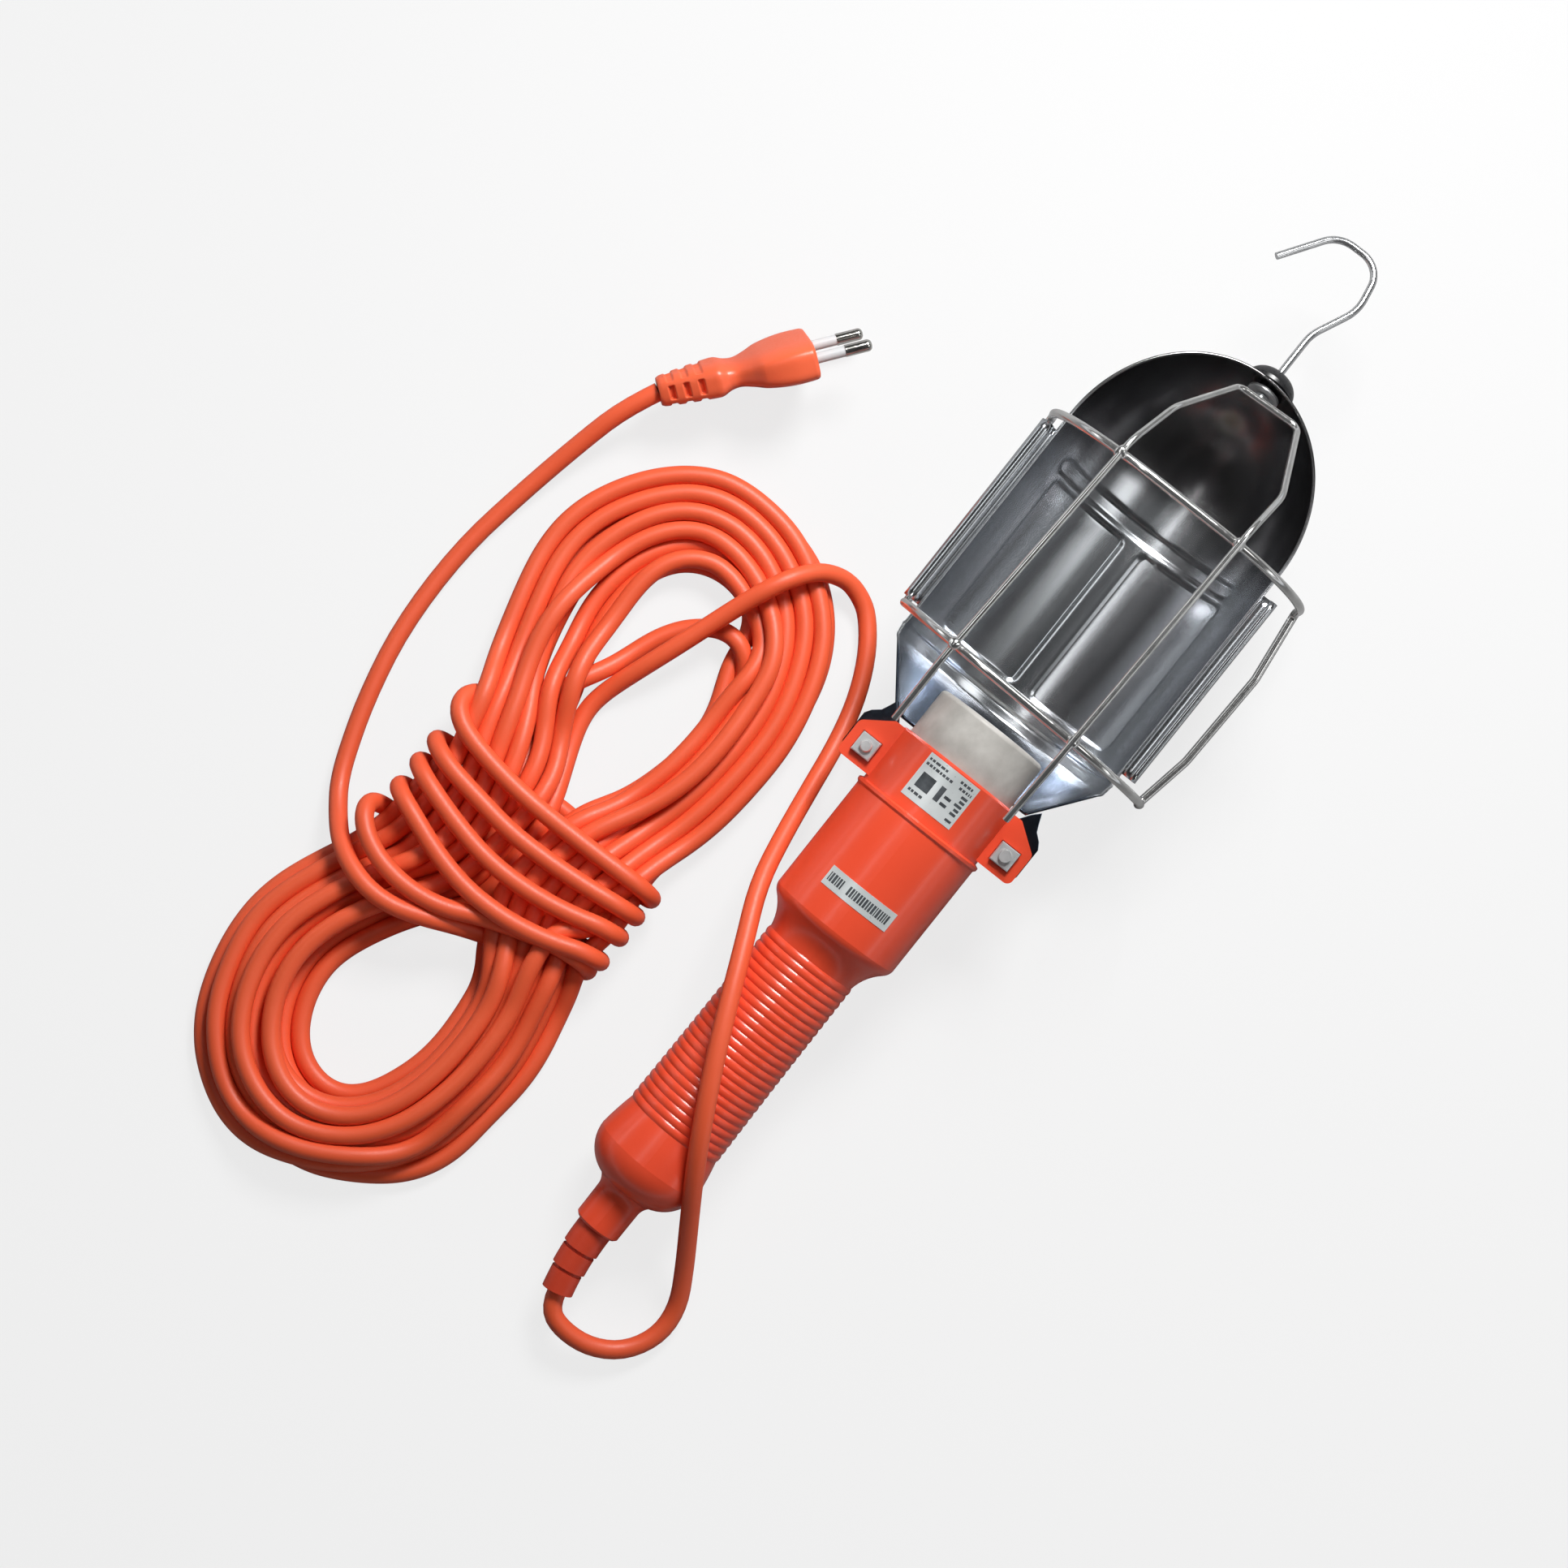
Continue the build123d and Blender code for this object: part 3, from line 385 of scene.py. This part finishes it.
def show(name, mesh, mat, body="lamp", thickness=0.0, edge=0.0, smooth=True):
    """Put a finished mesh in the scene on its body, with a thickness behind its surface and softened edges."""
    obj = bpy.data.objects.new(name, mesh)
    scene.collection.objects.link(obj)
    obj.data.materials.append(mat)
    obj.data.polygons.foreach_set("use_smooth", [smooth] * len(obj.data.polygons))
    if thickness:
        solid = obj.modifiers.new("thickness", "SOLIDIFY")
        solid.thickness = abs(thickness) * MM
        solid.offset = -1 if thickness > 0 else 0
        solid.use_even_offset = True
    if edge:
        bevel = obj.modifiers.new("edge", "BEVEL")
        bevel.width = edge * MM
        bevel.segments = 2
        bevel.limit_method = "ANGLE"
        bevel.angle_limit = math.radians(40)
    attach(obj, body)
    return obj


def grid_mesh(name, rows, closed=False):
    """A mesh from rows of points, each row joined to the next."""
    rows = [list(r) for r in rows]
    width = len(rows[0])
    faces = []
    for r in range(len(rows) - 1):
        for c in range(width if closed else width - 1):
            d = (c + 1) % width
            faces.append((r * width + c, r * width + d, (r + 1) * width + d, (r + 1) * width + c))
    mesh = bpy.data.meshes.new(name)
    mesh.from_pydata([tuple(v) for row in rows for v in row], [], faces)
    mesh.update()
    return mesh


def step_up(x, width):
    """A smooth step from 0 to 1 over `width`, with its middle at x = 0."""
    x = min(max(x / width * 0.5 + 0.5, 0.0), 1.0)
    return x * x * (3 - 2 * x)


def field(u, arc, low, high, first, last, corner):
    """How far a point is inside a rounded field of the sheet, in mm."""
    half_u, half_a = (high - low) / 2, (last - first) / 2 * math.radians(1) * shell_r
    du = abs(u - (low + high) / 2) - half_u + corner
    da = abs(arc - (first + last) / 2 * math.radians(1) * shell_r) - half_a + corner
    return corner - math.hypot(max(du, 0), max(da, 0)) - min(max(du, da), 0)


def shell_radius(u, degrees):
    """Outside radius of the pressed sheet, with its raised panels, cross bead and rings."""
    if u < 21.0:
        radius = 26.4 + (u - 1.5) / 19.5 * 14.6
    elif u < 24.0:
        radius = 41.0 + math.sin((u - 21.0) / 3 * math.pi / 2) * 1.0
    else:
        radius = shell_r
    arc = math.radians(degrees) * shell_r
    for low, high, first, last, corner, height in ((33.5, 94, 37, 86, 2.5, 0.75), (33.5, 94, 95.5, 147, 2.5, 0.75),
                                                   (96.2, 101.8, 33, 147, 2.75, 0.8)):
        radius += height * step_up(field(u, arc, low, high, first, last, corner), 0.7)
    for ring in (21.5, 25.5):
        radius += 0.35 * math.exp(-((u - ring) / 0.6) ** 2)
    return radius


shell_rows = []
for n in range(145):
    u = 1.5 + n * (dome_at - 1.5) / 144
    shell_rows.append([place(u, shell_shift + shell_radius(u, d) * math.cos(math.radians(d)),
                             -shell_radius(u, d) * math.sin(math.radians(d))) for d in np.linspace(0, 180, 181)])
for n in range(1, 61):
    lean = math.radians(n * 1.5)
    u = dome_at + dome_depth * math.sin(lean)
    r = max(shell_r * math.cos(lean), 0.02)
    shell_rows.append([place(u, shell_shift + r * math.cos(d), -r * math.sin(d))
                       for d in np.linspace(0, math.pi, 181)])


def reflector_steel_painted_shade():
    """Satin steel sheet, drawn along the lamp. Its colour holds painted dark reflection where the dome begins, and
    painted shade in dark blue-grey at the cone's throat and nearer the collar.
    """
    mat = surface("reflector_steel_painted_shade", (0.58, 0.62, 0.64), (0.68, 0.69, 0.72), 0.22, grain=260, bump=0.002,
                  metallic=1.0, stretch=(0.06, 1, 1), rough_spread=0.02, tilted=True, patch=30)
    tree = mat.node_tree
    shader = tree.nodes["Principled BSDF"]
    ramp = shader.inputs["Base Color"].links[0].from_node
    where = tree.nodes.new("ShaderNodeTexCoord")
    turned = tree.nodes.new("ShaderNodeMapping")
    turned.vector_type = "TEXTURE"
    turned.inputs["Location"].default_value = collar
    turned.inputs["Rotation"].default_value = (0, -tilt, 0)
    parts = tree.nodes.new("ShaderNodeSeparateXYZ")
    # Painted reflection: the steel's colour turns dark grey where the dome begins, standing in for the dark room it
    # mirrors.
    painted_dome_reflection_mask = tree.nodes.new("ShaderNodeMapRange")
    painted_dome_reflection_mask.interpolation_type = "SMOOTHSTEP"
    painted_dome_reflection_mask.inputs["From Min"].default_value = 0.104
    painted_dome_reflection_mask.inputs["From Max"].default_value = 0.122
    mix = tree.nodes.new("ShaderNodeMix")
    mix.data_type = "RGBA"
    mix.inputs[7].default_value = (0.24, 0.235, 0.24, 1)
    tree.links.new(where.outputs["Object"], turned.inputs["Vector"])
    tree.links.new(turned.outputs["Vector"], parts.inputs["Vector"])
    tree.links.new(parts.outputs["X"], painted_dome_reflection_mask.inputs["Value"])
    tree.links.new(painted_dome_reflection_mask.outputs["Result"], mix.inputs[0])
    # Painted shade: the cone's throat, and all of the sheet nearer the collar, such as the tabs, turns dark
    # blue-grey.
    throat = tree.nodes.new("ShaderNodeMapRange")
    throat.interpolation_type = "SMOOTHSTEP"
    throat.inputs["From Min"].default_value = 0.024
    throat.inputs["From Max"].default_value = 0.017
    painted_throat_shade = tree.nodes.new("ShaderNodeMix")
    painted_throat_shade.data_type = "RGBA"
    painted_throat_shade.inputs[7].default_value = (0.09, 0.11, 0.145, 1)
    tree.links.new(parts.outputs["X"], throat.inputs["Value"])
    tree.links.new(throat.outputs["Result"], painted_throat_shade.inputs[0])
    tree.links.new(ramp.outputs["Color"], painted_throat_shade.inputs[6])
    tree.links.new(painted_throat_shade.outputs[2], mix.inputs[6])
    tree.links.new(mix.outputs[2], shader.inputs["Base Color"])
    return mat


sheet_steel = reflector_steel_painted_shade()
shell = show("reflector_shell", grid_mesh("reflector_shell", shell_rows), sheet_steel)
solid = shell.modifiers.new("thickness", "SOLIDIFY")
solid.thickness = shell_wall * MM
solid.offset = 1
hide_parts("reflector")


def rolled_edge(name, section, low, high):
    """A strip of sheet along the lamp, whose section is a line of (y, v) points."""
    rows = [[place(u, y, v) for y, v in section] for u in np.linspace(low, high, 24)]
    obj = show(name, grid_mesh(name, rows), sheet_steel, thickness=-0.8)
    return obj


hinge_roll = [(42.6, -0.45), (44.6, -0.5)] + [
    (hinge_y + 1.9 * math.cos(a), hinge_v + 1.9 * math.sin(a)) for a in np.radians(np.arange(-92, 236, 12))]
rolled_edge("reflector_hinge_roll", hinge_roll, 32.8, 103.2)
latch_roll = [(-40.3, -0.45), (-43.4, -0.45)] + [
    (-44.5 - 1.0 * math.sin(a), 0.5 - 1.0 * math.cos(a)) for a in np.radians(np.arange(-5, 290, 15))]
rolled_edge("reflector_latch_roll", latch_roll, 30.8, 102.4)


def plate(name, outline, v, thickness, mat, edge=0.2):
    """A flat plate from its outline of (u, y) points, with its upper face at v."""
    mesh = bpy.data.meshes.new(name)
    mesh.from_pydata([tuple(place(u, y, v)) for u, y in outline], [], [tuple(range(len(outline)))])
    mesh.update()
    if mesh.polygons[0].normal.dot(upward) < 0:
        mesh.flip_normals()
    return show(name, mesh, mat, thickness=thickness, edge=edge, smooth=False)


tab_outline = [(-17.5, 23.2), (-17.5, 33.4), (-17.1, 34.5), (-15.5, 35.2), (-4.6, 35.2), (-2.4, 33.8), (-0.4, 31.4),
               (2.2, 30.2), (5.4, 28.9), (3.0, 26.6), (-2.0, 23.2)]
for hand, name in ((1, "reflector_tab_hinge"), (-1, "reflector_tab_latch")):
    plate(name, [(u, y * hand) for u, y in tab_outline], 0.0, shell_wall, sheet_steel)


# ---------------------------------------------------------------- labels' print, socket thread, welds and plug
def curved_patches(name, patches, radius, mat):
    """Small curved marks on a round body: (u low, u high, first and last degrees from its top towards the hinge)."""
    points, faces = [], []
    for low, high, first, last in patches:
        steps = max(2, int(abs(last - first) / 1.5) + 1)
        base = len(points)
        for angle in np.radians(np.linspace(first, last, steps)):
            for u in (low, high):
                points.append(tuple(place(u, radius * math.sin(angle), radius * math.cos(angle))))
        faces += [(base + 2 * k, base + 2 * k + 1, base + 2 * k + 3, base + 2 * k + 2) for k in range(steps - 1)]
    mesh = bpy.data.meshes.new(name)
    mesh.from_pydata(points, [], faces)
    mesh.update()
    return show(name, mesh, mat)


def line_of_marks(rng, low, high, first, last, longest):
    """One line of plain dashes of uneven length, running round the body."""
    marks, at = [], first
    while at > last + 1.0:
        size = min(rng.uniform(0.35, 1.0) * longest, at - last)
        marks.append((low, high, at - size, at))
        at -= size + 0.9
    return marks


collar_label_r, body_label_r = 22.6 + 0.19, 23.2 + 0.19
rng = np.random.default_rng(3)
marks = []
for line in ((-3.4, -2.6, 25, 6, 5.0), (-5.2, -4.3, 25, -2, 4.0), (-3.4, -2.5, -6, -19, 3.0),
             (-5.2, -4.3, -8, -20, 3.0), (-14.9, -14.0, 24, 10, 4.0)):
    marks += line_of_marks(rng, *line)
for k in range(5):
    marks.append((-13.0 + k * 1.5, -12.1 + k * 1.5, -19.5, -12.5 - rng.uniform(0, 3)))
marks += [(-12.6, -7.4, 9.0, 22.0), (-12.6, -7.4, -1.0, 3.5), (-12.6, -11.6, -9, -3), (-10.2, -9.2, -9, -3),
          (-15.4, -14.6, -20, -14)]
curved_patches("rating_print", marks, collar_label_r, print_ink)
marks = line_of_marks(rng, -52.4, -49.3, 29.5, 14, 2.4) + line_of_marks(rng, -52.4, -49.3, 10, -30, 2.2)
curved_patches("strip_print", marks, body_label_r, print_ink)

thread_low, thread_high, thread_pitch = -20.2, 13.6, 3.63
thread_r, thread_depth = 13.42, 0.32
thread_rows = []
for n in range(150):
    u = thread_low + n * 0.2275
    fade = min(1.0, (u - thread_low) / 3.6, (thread_high - u) / 2.4)
    ring = []
    for a in np.linspace(0, 2 * math.pi, 96, endpoint=False):
        r = thread_r - thread_depth * max(fade, 0) * math.cos(2 * math.pi * u / thread_pitch - a)
        ring.append(place(u, r * math.cos(a), r * math.sin(a)))
    thread_rows.append(ring)
thread = show("socket_thread", grid_mesh("socket_thread", thread_rows, closed=True), nickel,
              thickness=-0.3)
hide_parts("socket_shell")


def weld(name, u, y, v):
    """A small uneven puddle of metal where two wires of the cage cross."""
    mesh = bpy.data.meshes.new(name)
    build = bmesh.new()
    bmesh.ops.create_icosphere(build, subdivisions=3, radius=1.0)
    rng = np.random.default_rng(int(abs(u * 7 + y)))
    bumps = rng.normal(0, 1, (5, 3))
    centre = place(u, y, v)
    for vert in build.verts:
        swell = 1 + 0.10 * sum(math.sin(3 * vert.co.dot(Vector(b))) for b in bumps) / 2
        local = vert.co * swell
        vert.co = centre + (along * local.x * 2.1 + sideways * local.y * 2.0 + upward * local.z * 1.45) * MM
    build.to_mesh(mesh)
    build.free()
    show(name, mesh, wire_steel, body="cage")


for k, spot in enumerate([(103.5, 21.8, 47.7), (103.4, -22.4, 48.3), (28.0, 25.1, 47.4), (26.9, -20.7, 48.6)]):
    weld(f"cage_weld_{k + 1}", *spot)


plug_way = Vector((58, -43, 0)).normalized()
plug_across = Vector((43, 58, 0)).normalized()
plug_lean = math.radians(-27)
plug_wide = plug_across * math.sin(plug_lean) + Vector((0, 0, 1)) * math.cos(plug_lean)
plug_flat = plug_way.cross(plug_wide)
plug_entry = plan(39.0, 154.6, 17.3)
# Distance from the cord's entry, width, thickness and squareness of the moulding there.
plug_sections = [(0.0, 10.6, 9.0, 2.3), (1.2, 11.6, 9.8, 2.8), (8.0, 15.0, 10.8, 3.2), (18.6, 20.4, 11.6, 3.4),
                 (20.4, 20.6, 11.4, 3.2), (23.4, 18.6, 9.4, 2.8), (26.6, 18.8, 8.8, 2.7), (30.5, 23.8, 10.0, 3.0),
                 (35.0, 30.6, 11.8, 3.6), (43.0, 34.6, 13.2, 4.2), (50.8, 34.4, 13.0, 4.4), (51.8, 33.4, 12.4, 4.2)]


slot_rows = (4.2, 9.1, 14.0)
plug_face = 52.0


def plug_ring(distance, width, thickness, square):
    """One ring of the plug's moulding, with the strain relief's short slots pressed into its sides."""
    ring = []
    for a in np.linspace(0, 2 * math.pi, 160, endpoint=False):
        c, s = math.cos(a), math.sin(a)
        w = width / 2 * math.copysign(abs(c) ** (2 / square), c)
        t = thickness / 2 * math.copysign(abs(s) ** (2 / square), s)
        flat, edge = abs(t), abs(w)
        for row in slot_rows:
            shallow = (step_up(1.1 - abs(distance - row), 0.4)
                       * step_up(0.19 * width - abs(edge - 0.23 * width), 0.5))
            deep = step_up(0.85 - abs(distance - row), 0.3) * step_up(0.21 * thickness - flat, 0.4)
            t -= math.copysign(0.6 * shallow, t)
            w -= math.copysign(1.9 * deep, w)
        ring.append(plug_entry + plug_way * distance * MM + (plug_wide * w + plug_flat * t) * MM)
    return ring


at = np.array([s[0] for s in plug_sections])
profile = np.array([s[1:] for s in plug_sections])
plug_rows = [plug_ring(0.0, 6.0, 6.0, 2.0), plug_ring(-0.1, 9.6, 8.2, 2.2)]
for n in range(0, 174):
    d = min(n * 0.3, 51.8)
    k = min(int(np.searchsorted(at, d, side="right")) - 1, len(at) - 2)
    share = (d - at[k]) / (at[k + 1] - at[k])
    before, after = max(k - 1, 0), min(k + 2, len(at) - 1)
    slope_in = (profile[k + 1] - profile[before]) / (at[k + 1] - at[before])
    slope_out = (profile[after] - profile[k]) / (at[after] - at[k])
    gap = at[k + 1] - at[k]
    value = ((2 * share ** 3 - 3 * share ** 2 + 1) * profile[k]
             + (share ** 3 - 2 * share ** 2 + share) * gap * slope_in
             + (3 * share ** 2 - 2 * share ** 3) * profile[k + 1] + (share ** 3 - share ** 2) * gap * slope_out)
    plug_rows.append(plug_ring(d, *value))
plug_rows += [plug_ring(plug_face, 32.4, 11.4, 4.0), plug_ring(plug_face, 30.0, 9.4, 3.6),
              plug_ring(plug_face - 0.4, 29.4, 8.8, 3.6), plug_ring(plug_face - 0.4, 0.1, 0.1, 2.0)]
plug = show("plug_moulding", grid_mesh("plug_moulding", plug_rows, closed=True), plug_skin)
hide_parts("plug_body")


# ---------------------------------------------------------------- floor and light
def floor_material():
    """Pale paper. What it throws back at the lamp is held down, as on a raised sheet of glass."""
    mat = bpy.data.materials.new("floor")
    mat.use_nodes = True
    tree = mat.node_tree
    shader = tree.nodes["Principled BSDF"]
    shader.inputs["Roughness"].default_value = 1.0
    shader.inputs["Specular IOR Level"].default_value = 0.0
    shader.inputs["Emission Strength"].default_value = 0.785
    shader.inputs["Emission Color"].default_value = (1, 1, 1, 1)
    noise = tree.nodes.new("ShaderNodeTexNoise")
    noise.inputs["Scale"].default_value = 6
    ramp = tree.nodes.new("ShaderNodeValToRGB")
    ramp.color_ramp.elements[0].color = (0.12, 0.12, 0.12, 1)
    ramp.color_ramp.elements[1].color = (0.13, 0.13, 0.13, 1)
    tree.links.new(noise.outputs["Fac"], ramp.inputs["Fac"])
    tree.links.new(ramp.outputs["Color"], shader.inputs["Base Color"])
    dim = tree.nodes.new("ShaderNodeBsdfDiffuse")
    dim.inputs["Color"].default_value = (0.30, 0.30, 0.30, 1)
    path = tree.nodes.new("ShaderNodeLightPath")
    mix = tree.nodes.new("ShaderNodeMixShader")
    tree.links.new(path.outputs["Is Camera Ray"], mix.inputs["Fac"])
    tree.links.new(dim.outputs["BSDF"], mix.inputs[1])
    tree.links.new(shader.outputs["BSDF"], mix.inputs[2])
    tree.links.new(mix.outputs["Shader"], tree.nodes["Material Output"].inputs["Surface"])
    return mat


floor_mesh = bpy.data.meshes.new("floor")
floor_mesh.from_pydata([(-4, -4, 0), (4, -4, 0), (4, 4, 0), (-4, 4, 0)], [], [(0, 1, 2, 3)])
floor = bpy.data.objects.new("floor", floor_mesh)
floor.data.materials.append(floor_material())
scene.collection.objects.link(floor)


def studio_world():
    """A dim room: dark overhead, brighter towards the horizon."""
    world = bpy.data.worlds.new("studio")
    world.use_nodes = True
    tree = world.node_tree
    where = tree.nodes.new("ShaderNodeTexCoord")
    parts = tree.nodes.new("ShaderNodeSeparateXYZ")
    ramp = tree.nodes.new("ShaderNodeValToRGB")
    ramp.color_ramp.elements[0].position = 0.0
    ramp.color_ramp.elements[0].color = (0.85, 0.90, 0.97, 1)
    ramp.color_ramp.elements[1].position = 1.0
    ramp.color_ramp.elements[1].color = (0.02, 0.02, 0.022, 1)
    for at, grey in ((0.08, 0.75), (0.16, 0.12), (0.34, 0.05), (0.60, 0.025)):
        ramp.color_ramp.elements.new(at).color = (grey, grey, grey, 1)
    tree.links.new(where.outputs["Generated"], parts.inputs["Vector"])
    tree.links.new(parts.outputs["Z"], ramp.inputs["Fac"])
    tree.links.new(ramp.outputs["Color"], tree.nodes["Background"].inputs["Color"])
    return world


scene.world = studio_world()
scene.view_settings.view_transform = "Standard"


def softbox(name, at, aim, width, height, power):
    """A rectangular light that looks from one point at another."""
    data = bpy.data.lights.new(name, "AREA")
    data.shape = "RECTANGLE"
    data.size = width
    data.size_y = height
    data.energy = power
    lamp = bpy.data.objects.new(name, data)
    lamp.matrix_world = Matrix.Translation(at) @ (at - aim).to_track_quat("Z", "Y").to_matrix().to_4x4()
    scene.collection.objects.link(lamp)


middle = plan(-30, 40, 10)
softbox("key", middle + right * 0.23 + top * 0.49 + towards * 0.54, middle + right * 0.07 + top * 0.07,
        0.26, 0.24, 6.9)
softbox("fill", middle + right * 0.9 - top * 0.1 + towards * 1.1, middle, 0.5, 0.5, 1.5)


reflector_middle = 60
strip_length, strip_away = 0.7, 1.1


def strip(name, degrees, width, power):
    """A long narrow light beside the lamp's axis, at an angle from straight above it towards the hinge."""
    out = upward * math.cos(math.radians(degrees)) + sideways * math.sin(math.radians(degrees))
    data = bpy.data.lights.new(name, "AREA")
    data.shape = "RECTANGLE"
    data.size = strip_length
    data.size_y = width
    data.energy = power
    lamp = bpy.data.objects.new(name, data)
    turned = Matrix((along, out.cross(along), out)).transposed().to_4x4()
    lamp.matrix_world = Matrix.Translation(place(reflector_middle, 0, 0) + out * strip_away) @ turned
    scene.collection.objects.link(lamp)


strip("strip_over", 17, 0.09, 0.62)
strip("strip_hinge", 70, 0.13, 0.60)
strip("strip_latch", -70, 0.13, 0.55)
